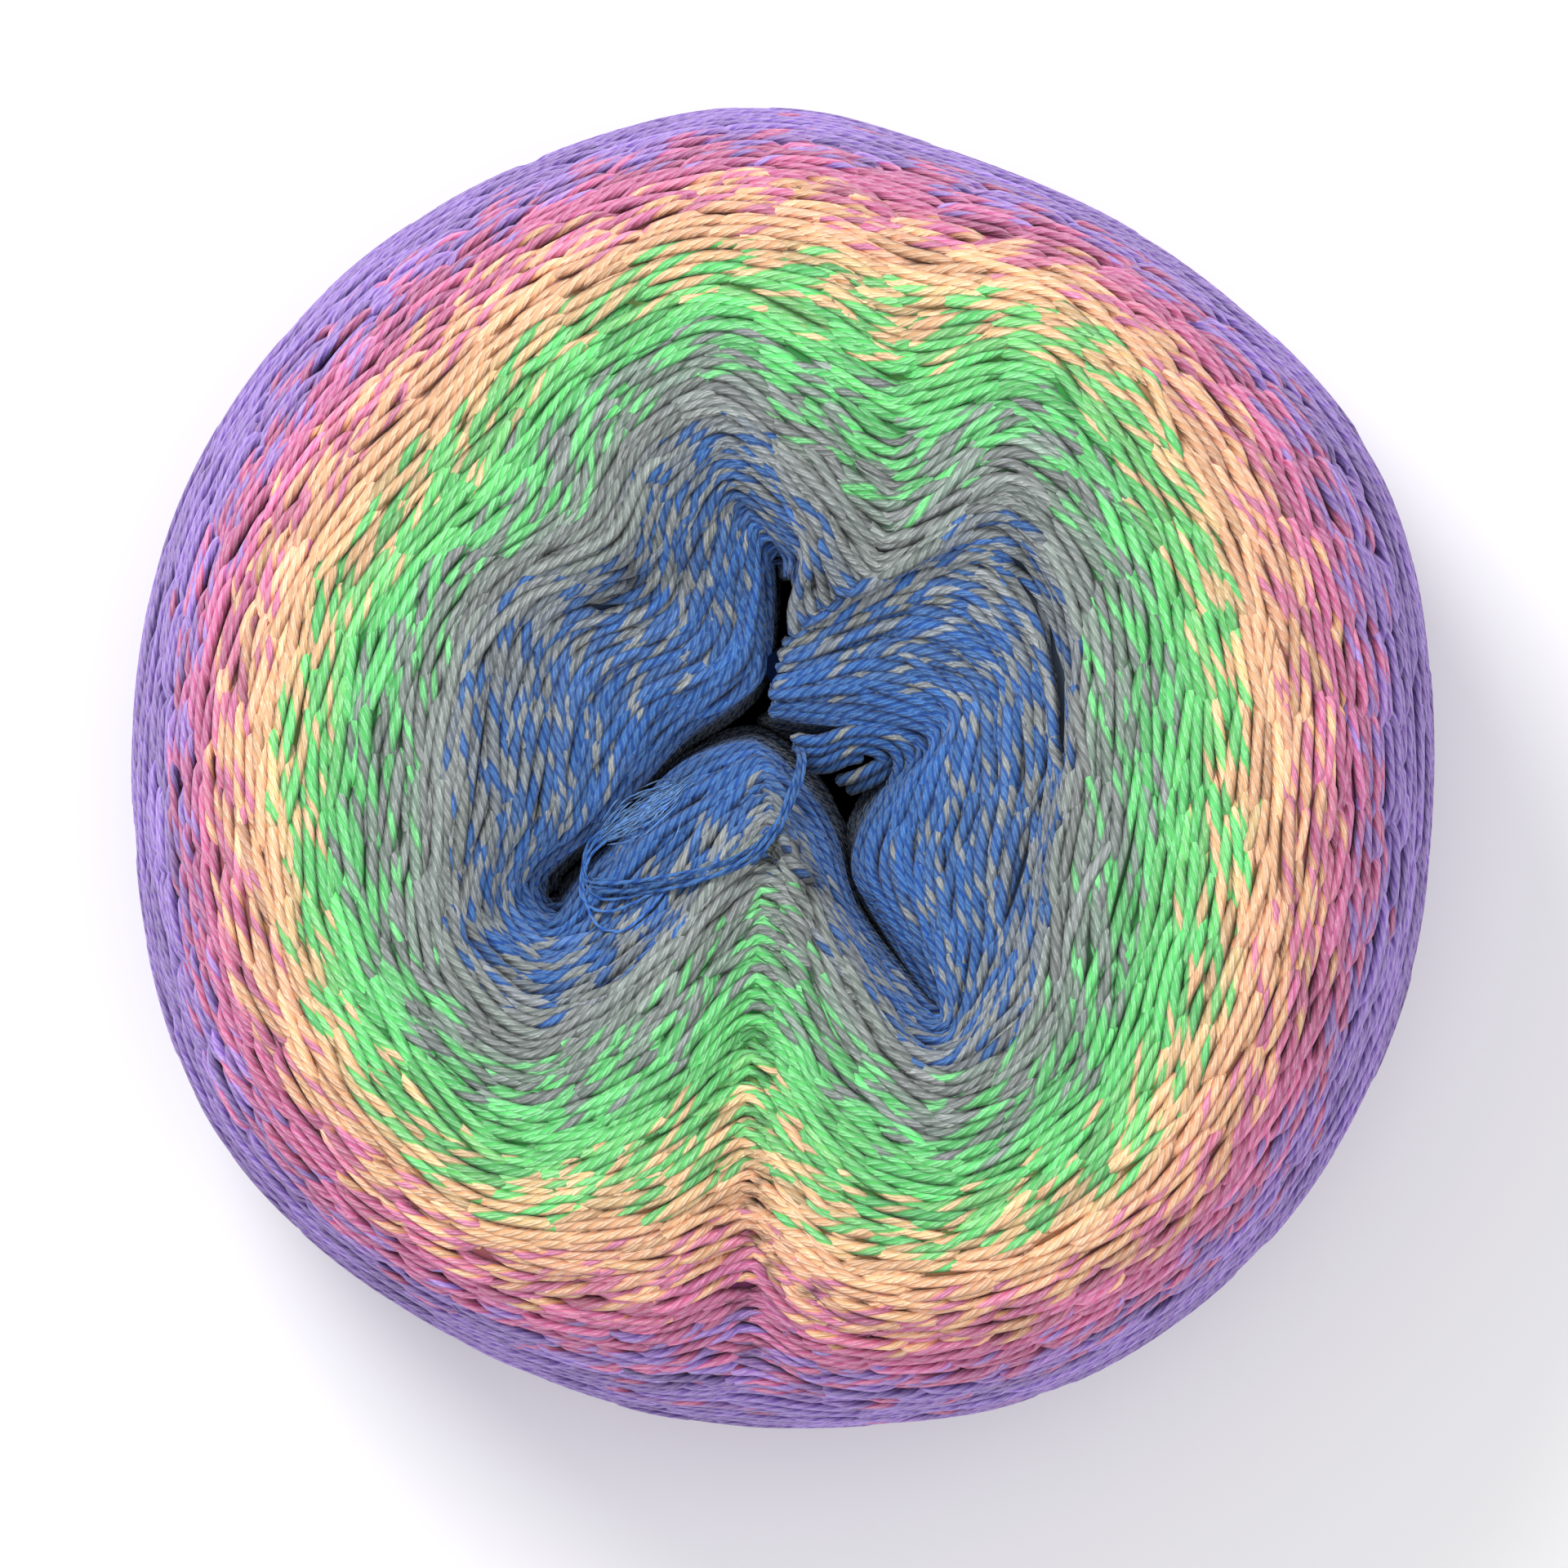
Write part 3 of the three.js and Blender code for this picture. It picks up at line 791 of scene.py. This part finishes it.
def innerBody():
    # the layers below the turns, which close what shows between them, darkened as painted shade
    pick = np.unique(np.concatenate([
        np.arange(0, marks["lip"], innerLayers["wallStep"]),
        np.arange(marks["lip"], marks["girth"], innerLayers["step"]),
        np.arange(marks["girth"], rowCount, innerLayers["step"]),
        [rowCount - 1],
    ]))
    cols = np.arange(0, columnCount, innerLayers["columnStep"])
    points = rows[pick][:, cols] - outward[pick][:, cols] * innerLayers["inset"]
    floorRow = points[:1].copy()
    floorRow[..., 2] = form["height"] - form["dishDepth"] - form["hollowDepth"]
    points = np.concatenate([floorRow, points])
    share = np.concatenate([[0], shares[pick]])
    n, m = points.shape[:2]
    index = np.arange(n * m).reshape(n, m)
    a, b = index[:-1], index[1:]
    faces = np.stack([a, b, np.roll(b, -1, 1), np.roll(a, -1, 1)], -1).reshape(-1, 4).tolist()
    faces += [index[0].tolist(), index[-1][::-1].tolist()]  # the hollow's floor and the base's middle
    mesh = bpy.data.meshes.new("wound_layers")
    mesh.from_pydata((points.reshape(-1, 3) * mm).tolist(), [], faces)
    mesh.update()
    first, second, portion = dyeAt(share)
    colour = paletteLinear[first] * (1 - portion[:, None]) + paletteLinear[second] * portion[:, None]
    # painted shade: the layers between the turns are darker and more saturated than the yarn
    colour = innerLayers["layerShade"] * colour * (colour + innerLayers["paleness"])
    layer = np.concatenate([[0], layerOfRow[pick]])[:, None]
    # painted shade: darker still in the hollow, at the slit's lip, where turns go down into the slit, and
    # in pits
    hidden = insidePlunge(layer, cols[None]) | (layer < innerLayers["hiddenLayer"])
    light = dimming(points) * np.where(hidden, innerLayers["hiddenLight"], 1)
    rgba = np.ones((n * m, 4), np.float32)
    rgba[:, :3] = (colour[:, None] * light[..., None]).reshape(-1, 3)
    mesh.color_attributes.new("yarnColour", "BYTE_COLOR", "POINT").data.foreach_set("color", rgba.ravel())
    mesh.materials.append(innerYarn)
    return placed("wound_layers", mesh)


inner = innerBody()
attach(inner, "root")
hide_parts("wound_cake")
print("inner layers", len(inner.data.polygons), "faces")


def freshTone(plain, other, mixed, bright):
    # a turn's colour with some fibres of the other one among its own, a little lighter or darker
    count = len(plain)
    blended = plain + (other - plain) * mixed * rng.uniform(0, 1, (count, 1))
    return blended * bright * rng.normal(1, dye["toneSpread"], (count, 1))


def addTurns(zone, z, own):
    # all the turns of one zone, in as many pieces as it needs
    paths = turnPaths(z, own)
    covered = np.zeros((rowCount, columnCount), bool)
    coverSkin(covered, *paths[3:])
    fill = fillSeeds(zone, z, covered)
    if len(fill):
        more = turnPaths(z, fill, shorter=cover["fillShorter"], deeper=cover["fillDeeper"])
        paths = [np.concatenate(pair) for pair in zip(paths, more)]
        own = np.concatenate([own, fill])
    path, normal, s = paths[:3]
    count = len(own)
    each = (z["sections"] - 1) * 2 * len(strand["corners"])
    print(z["name"], count, "turns,", len(fill), "of them fillers,", count * each, "triangles")
    middle = np.clip(own[:, 1], 0, rowCount - 1).astype(int)
    wander = rng.normal(0, dye["uneven"], count)
    share = shares[middle] + wander * (1 + dye["outerUneven"] * (shares[middle] > dye["outerFrom"]))
    spot = rows[middle, own[:, 2].astype(int) % columnCount]
    angle = np.arctan2(spot[:, 1], spot[:, 0])
    rim = smooth((layerOfRow[middle] - 0.6) / 0.3) * (middle < marks["girth"])
    share += rim * (dye["rimWide"] * np.cos(2 * angle) - dye["rimLess"])
    first, second, portion = dyeAt(share)
    bright = np.clip(rng.normal(*dye["bright"], (count, 1)), *dye["brightLimits"])
    mixed = np.where(portion > 0, dye["mixed"], dye["plainMixed"])[:, None]
    first, second = paletteLinear[first], paletteLinear[second]
    first, second = freshTone(first, second, mixed, bright), freshTone(second, first, mixed, bright)
    thick = np.clip(rng.normal(1, strand["thickSpread"], count), *strand["thickLimits"])
    thick = strand["radius"] * z.get("thick", 1) * thick
    twist = rng.uniform(0, 2 * math.pi, count)
    strands = (path, normal, s * z["twist"], thick, first, second, portion, twist)
    pieces = math.ceil(count * each / mostTriangles)
    for k in range(pieces):
        part = slice(k * count // pieces, (k + 1) * count // pieces)
        name = z["name"] if pieces == 1 else f"{z['name']}_{'abcdef'[k]}"
        obj = strandMesh(name, *(v[part] for v in strands))
        obj.data.materials.append(turnYarn)
        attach(obj, "root")


seeds = seedTurns()
for zone, z in enumerate(zones):
    addTurns(zone, z, seeds[seeds[:, 0] == zone])
print("turns placed")


def lengthAlong(line):
    return np.concatenate([[0], np.cumsum(np.linalg.norm(np.diff(line, axis=0), axis=1))])


def throughPoints(points, perSpan):
    # a smooth line through the points
    p = np.asarray(points, float)
    p = np.vstack([2 * p[0] - p[1], p, 2 * p[-1] - p[-2]])
    t = (np.arange(perSpan) / perSpan)[:, None]
    spans = []
    for a, b, c, d in zip(p[:-3], p[1:-2], p[2:-1], p[3:]):
        bent = 2 * b + (c - a) * t + (2 * a - 5 * b + 4 * c - d) * t**2
        spans.append(0.5 * (bent + (3 * b - a - 3 * c + d) * t**3))
    return np.vstack([*spans, p[-2:-1]])


# turns that curl back at the tip of the right lobe, beside the hollow; mm, as in the folds
curl = [
    [(0.8, 3.4, 64.6), (3.8, 3.0, 65.9), (6.7, 3.9, 66.4), (9.3, 4.2, 66.5), (11.8, 3.9, 66.3),
     (13.8, 2.4, 66.0), (14.4, 0.4, 65.4), (13.4, -2.2, 64.6)],
    [(1.0, 2.2, 63.8), (3.8, 2.0, 65.2), (6.7, 3.0, 65.7), (9.3, 3.2, 65.8), (11.5, 2.7, 65.6),
     (12.9, 1.4, 65.1), (12.9, -0.6, 64.4), (11.8, -2.6, 63.4)],
    [(1.6, 0.9, 62.8), (4.4, 0.8, 64.4), (6.7, 1.8, 65.0), (8.7, 2.2, 65.0), (10.6, 1.7, 64.7),
     (11.6, 0.5, 64.0)],
    [(3.0, -0.1, 62.2), (5.2, 0.1, 63.6), (7.2, 0.9, 64.1), (9.0, 1.2, 63.8)],
    [(6.0, -1.5, 62.0), (7.4, -1.2, 63.2), (9.0, -0.6, 63.8), (10.8, 0.4, 64.0), (12.3, 1.2, 63.6)],
    [(7.2, -2.6, 61.4), (8.6, -2.1, 62.5), (10.2, -1.4, 63.1), (11.6, -0.4, 63.2), (12.8, 0.6, 62.8)],
]


def addCurl(sections=22):
    paths, runs = [], []
    for line in curl:
        fine = throughPoints(np.array(line) - [*centre, 0], 12)
        run = lengthAlong(fine)
        at = np.linspace(0, run[-1], sections)
        paths.append(np.stack([np.interp(at, run, fine[:, k]) for k in range(3)], 1))
        runs.append(at)
    paths, runs = np.array(paths), np.array(runs)
    count = len(paths)
    normal = np.zeros_like(paths) + [0, 0, 1.0]
    first, second = (np.repeat(paletteLinear[k][None], count, 0) for k in (0, 1))
    portion = np.where(np.arange(count) % 2 == 0, threadShares[1], 0)  # a grey thread in every other turn
    thick = np.full(count, strand["radius"])
    twist = rng.uniform(0, 2 * math.pi, count)
    obj = strandMesh("turns_curl", paths, normal, runs, thick, first, second, portion, twist)
    obj.data.materials.append(turnYarn)
    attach(obj, "root")


addCurl()
print("curled turns", len(curl))

loose = {
    "thread": 0.27,  # radius of one thread, mm
    "tones": (0.9, 1.05, 0.8, 0.98),  # one for each thread
    "spread": 0.36,  # how far threads lie from the middle of the strand
    "wide": 1.1,  # how much wider than that they lie near the hollow
    "fan": 0.9,  # how much wider still they lie further on
    "fanFrom": 0.35,  # share of the length where they open, and over how much
    "height": 0.8,  # how far they lie above and below the middle, as a share of spread
    "tipPast": 0.6,  # mm that the ends taper past the line
    "twistPitch": 44.0,
}
loosePath = [  # metres, the CAD's points
    (0.0015, 0.0031, 0.0615), (0.0020, 0.0010, 0.0675), (0.0016, -0.0013, 0.0707),
    (0.0008, -0.0033, 0.0725), (-0.0005, -0.0063, 0.0744), (-0.0030, -0.0093, 0.0759),
    (-0.0065, -0.0112, 0.0770), (-0.0105, -0.0124, 0.0758), (-0.0145, -0.0132, 0.0733),
    (-0.0180, -0.0135, 0.0719), (-0.0212, -0.0133, 0.0706),
]
topPoints = rows[marks["lip"]:marks["girth"]].reshape(-1, 3)


def topAt(x, y):
    # height of the skin at a point in mm, in the row frame
    near = np.argsort((topPoints[:, 0] - x) ** 2 + (topPoints[:, 1] - y) ** 2)[:3]
    return float(topPoints[near, 2].max())


def threadMesh(name, lines, radius, colours, sides=6):
    # round threads along lines, one mesh
    vertices, faces, shade, lengthwise, base = [], [], [], [], 0
    for number, line in enumerate(lines):
        ahead = unit(np.gradient(line, axis=0))
        side = unit(np.cross(ahead, (0, 0, 1.0)))
        up = np.cross(side, ahead)
        angle = np.arange(sides) * 2 * math.pi / sides
        size = np.full(len(line), radius)
        size[[0, -1]] *= 0.3  # thin tips
        outwards = np.cos(angle)[None, :, None] * up[:, None] + np.sin(angle)[None, :, None] * side[:, None]
        ring = line[:, None] + size[:, None, None] * outwards
        vertices.append(ring.reshape(-1, 3))
        index = base + np.arange(len(line) * sides).reshape(-1, sides)
        a, b = index[:-1], index[1:]
        faces.append(np.stack([a, np.roll(a, -1, 1), np.roll(b, -1, 1), b], -1).reshape(-1, 4))
        shade.append(np.repeat(np.append(colours[number], 0)[None], (len(line) - 1) * sides, 0))
        # half the twist of the turns, and each thread starts elsewhere in the pattern of fibres
        u = np.repeat(0.5 * lengthAlong(line)[:, None], sides + 1, 1) + 13 * number
        v = np.repeat(np.arange(sides + 1)[None] / sides / 4, len(line), 0)  # a thread is a quarter turn
        lengthwise.append(corners(np.stack([u, v], -1)))
        base += len(line) * sides
    vertices, faces, shade, lengthwise = (np.vstack(v) for v in (vertices, faces, shade, lengthwise))
    return makeMesh(name, vertices * mm, faces, None, lengthwise, np.repeat(shade, 4, 0), None)


blue = paletteLinear[0]
shift = -centre
middleLine = throughPoints([(x / mm + shift[0], y / mm + shift[1], z / mm) for x, y, z in loosePath], 6)
run = lengthAlong(middleLine)


def endThread(quarter):
    # one thread of the loose strand, a quarter of a turn on from the last one
    line = middleLine.copy()
    turn = 2 * math.pi * (run / loose["twistPitch"] + quarter / 4)
    ahead = np.gradient(line, axis=0)
    side = np.cross(ahead, (0, 0, 1.0))
    side /= np.linalg.norm(side, axis=1)[:, None]
    line[-1] += loose["tipPast"] * ahead[-1] / np.linalg.norm(ahead[-1])
    opened = smooth((run / run[-1] - loose["fanFrom"]) / loose["fanFrom"])
    wide = loose["spread"] * (loose["wide"] + loose["fan"] * opened)
    line += side * (np.cos(turn) * wide)[:, None]
    line[:, 2] += np.sin(turn) * loose["spread"] * loose["height"]
    return line


endThreads = [endThread(k) for k in range(4)]
looseEnd = threadMesh("loose_strand", endThreads, loose["thread"], [blue * tone for tone in loose["tones"]])
looseEnd.data.materials.append(turnYarn)
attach(looseEnd, "root")
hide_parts("loose_end")

# threads that part from the strand, loop round and come back, x, y in mm
loops = [
    [(-12.9, -13.1), (-16.8, -14.5), (-20.2, -14.9), (-21.7, -14.1), (-22.6, -12.6), (-22.7, -10.4),
     (-21.9, -8.2), (-20.2, -6.9)],
    [(-12.9, -13.2), (-15.6, -14.6), (-18.1, -15.8), (-20.4, -16.3), (-22.1, -15.6), (-23.0, -14.3),
     (-22.9, -12.0), (-22.3, -9.8), (-20.6, -7.6)],
    [(-12.9, -13.3), (-14.3, -15.0), (-15.9, -16.7), (-18.1, -18.4), (-19.8, -18.4), (-21.1, -17.8),
     (-22.3, -15.6), (-22.7, -13.0), (-21.9, -10.0), (-20.0, -8.2)],
    [(-21.0, -13.2), (-22.3, -12.7), (-22.5, -11.0), (-22.0, -9.2), (-20.8, -7.4)],
]
loopLook = {"radius": 0.2, "lift": 0.35, "tones": (1.1, 1.2, 1.3, 1.1), "steps": 6}


def loopLine(line):
    # a loop that lies on the skin and bridges the small dips below it
    steps = loopLook["steps"]
    flat = throughPoints([(x + shift[0], y + shift[1], 0) for x, y in line], steps)
    flat[:, 2] = [topAt(x, y) for x, y in flat[:, :2]]
    heights = [(k, flat[min(steps * k, len(flat) - 1), 2], 0) for k in range(len(line))]
    bridge = throughPoints(heights, steps)[:, 1]
    flat[:, 2] = np.maximum(bridge, flat[:, 2]) + loopLook["lift"]
    return flat


looseLoops = threadMesh("loose_threads", [loopLine(line) for line in loops], loopLook["radius"],
                        [blue * tone for tone in loopLook["tones"]])
looseLoops.data.materials.append(turnYarn)

# the worn patch where the loops come back: fine fibres side by side
worn = {
    "count": 110,
    "from": (-21.4, -8.4),
    "to": (-11.6, -2.0),
    "spread": 0.8,
    "radius": 0.09,
    "start": (-0.05, 0.75),  # as shares of the patch's length
    "length": (0.25, 0.5),
    "points": 9,
    "narrow": 0.45,  # how wide the patch is at its ends, and how much wider in its middle
    "bulge": 0.9,
    "wave": 0.15,  # mm, and how many radians of it lie along the patch
    "waves": 14,
    "lift": (0.1, 0.55),
    "colour": (126, 170, 218),
    "toneSpread": 0.18,
}


def wornLines():
    lines = []
    start, end = np.array(worn["from"]), np.array(worn["to"])
    away = np.array([end[1] - start[1], start[0] - end[0]]) / np.linalg.norm(end - start)
    for _ in range(worn["count"]):
        side = rng.normal(0, worn["spread"])
        first = rng.uniform(*worn["start"])
        at = np.linspace(first, first + rng.uniform(*worn["length"]), worn["points"])
        bulge = worn["narrow"] + worn["bulge"] * np.sin(np.clip(at, 0, 1) * math.pi)
        wave = worn["wave"] * np.sin(at * worn["waves"] + rng.uniform(0, 6))
        flat = start + at[:, None] * (end - start) + away * (side * bulge + wave)[:, None] + shift
        height = np.array([topAt(x, y) for x, y in flat])
        height = np.convolve(np.pad(height, 1, mode="edge"), (0.25, 0.5, 0.25), "valid")
        lift = rng.uniform(*worn["lift"]) * np.sin(np.linspace(0.15, 3, worn["points"]))
        lines.append(np.column_stack([flat, height + lift]))
    return lines


wornPaths = wornLines()
wornColours = [toLinear(worn["colour"]) * rng.normal(1, worn["toneSpread"]) for _ in wornPaths]
fibres = threadMesh("loose_fibres", wornPaths, worn["radius"], wornColours, sides=4)
fibres.data.materials.append(turnYarn)
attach(fibres, "root")
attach(looseLoops, "root")

studio = {
    "floor": {"Base Color": (0.93, 0.93, 0.93, 1), "Roughness": 0.9},
    "floorHalf": 3,  # m
    "world": 0.7,
    "lights": [  # name, place, size and power
        ("key", (-0.45, 0.62, 0.85), 0.5, 8.0),
        ("fill", (0.3, -0.1, 1.5), 1.2, 5.8),
    ],
    "lightAim": (0, 0, 0.05),
    "cameraHeight": 2.4,
    "viewWidth": 0.1795,  # m across, at viewHeight
    "viewHeight": 0.04,
    "viewCentre": (0.0, -1.87),  # mm, before the cake is centred
    "sensor": 36,
}
floorMesh = bpy.data.meshes.new("floor")
far = studio["floorHalf"]
floorMesh.from_pydata([(-far, -far, 0), (far, -far, 0), (far, far, 0), (-far, far, 0)], [], [(0, 1, 2, 3)])
floor = placed("floor", floorMesh)
floorMesh.materials.append(newMaterial("paleFloor", studio["floor"])[0])

bpy.context.scene.view_settings.view_transform = "Standard"
world = bpy.data.worlds.new("studioWorld")
bpy.context.scene.world = world
world.use_nodes = True
background = world.node_tree.nodes["Background"]
background.inputs["Color"].default_value = (1, 1, 1, 1)
background.inputs["Strength"].default_value = studio["world"]


def areaLight(name, place, size, power):
    light = bpy.data.lights.new(name, "AREA")
    light.shape = "DISK"
    light.size = size
    light.energy = power
    obj = placed(name, light)
    obj.location = place
    obj.rotation_euler = (Vector(studio["lightAim"]) - Vector(place)).to_track_quat("-Z", "Y").to_euler()


for light in studio["lights"]:
    areaLight(*light)

camera = placed("camera", bpy.data.cameras.new("camera"))
bpy.context.scene.camera = camera
atX, atY = ((v + d) * mm for v, d in zip(studio["viewCentre"], shift))
camera.location = (atX, atY, studio["cameraHeight"])
camera.rotation_euler = (0, 0, 0)
camera.data.sensor_width = studio["sensor"]
camera.data.lens = studio["sensor"] * (studio["cameraHeight"] - studio["viewHeight"]) / studio["viewWidth"]
camera.data.clip_end = 20
print("floor, lights and camera set")

print("finishing")
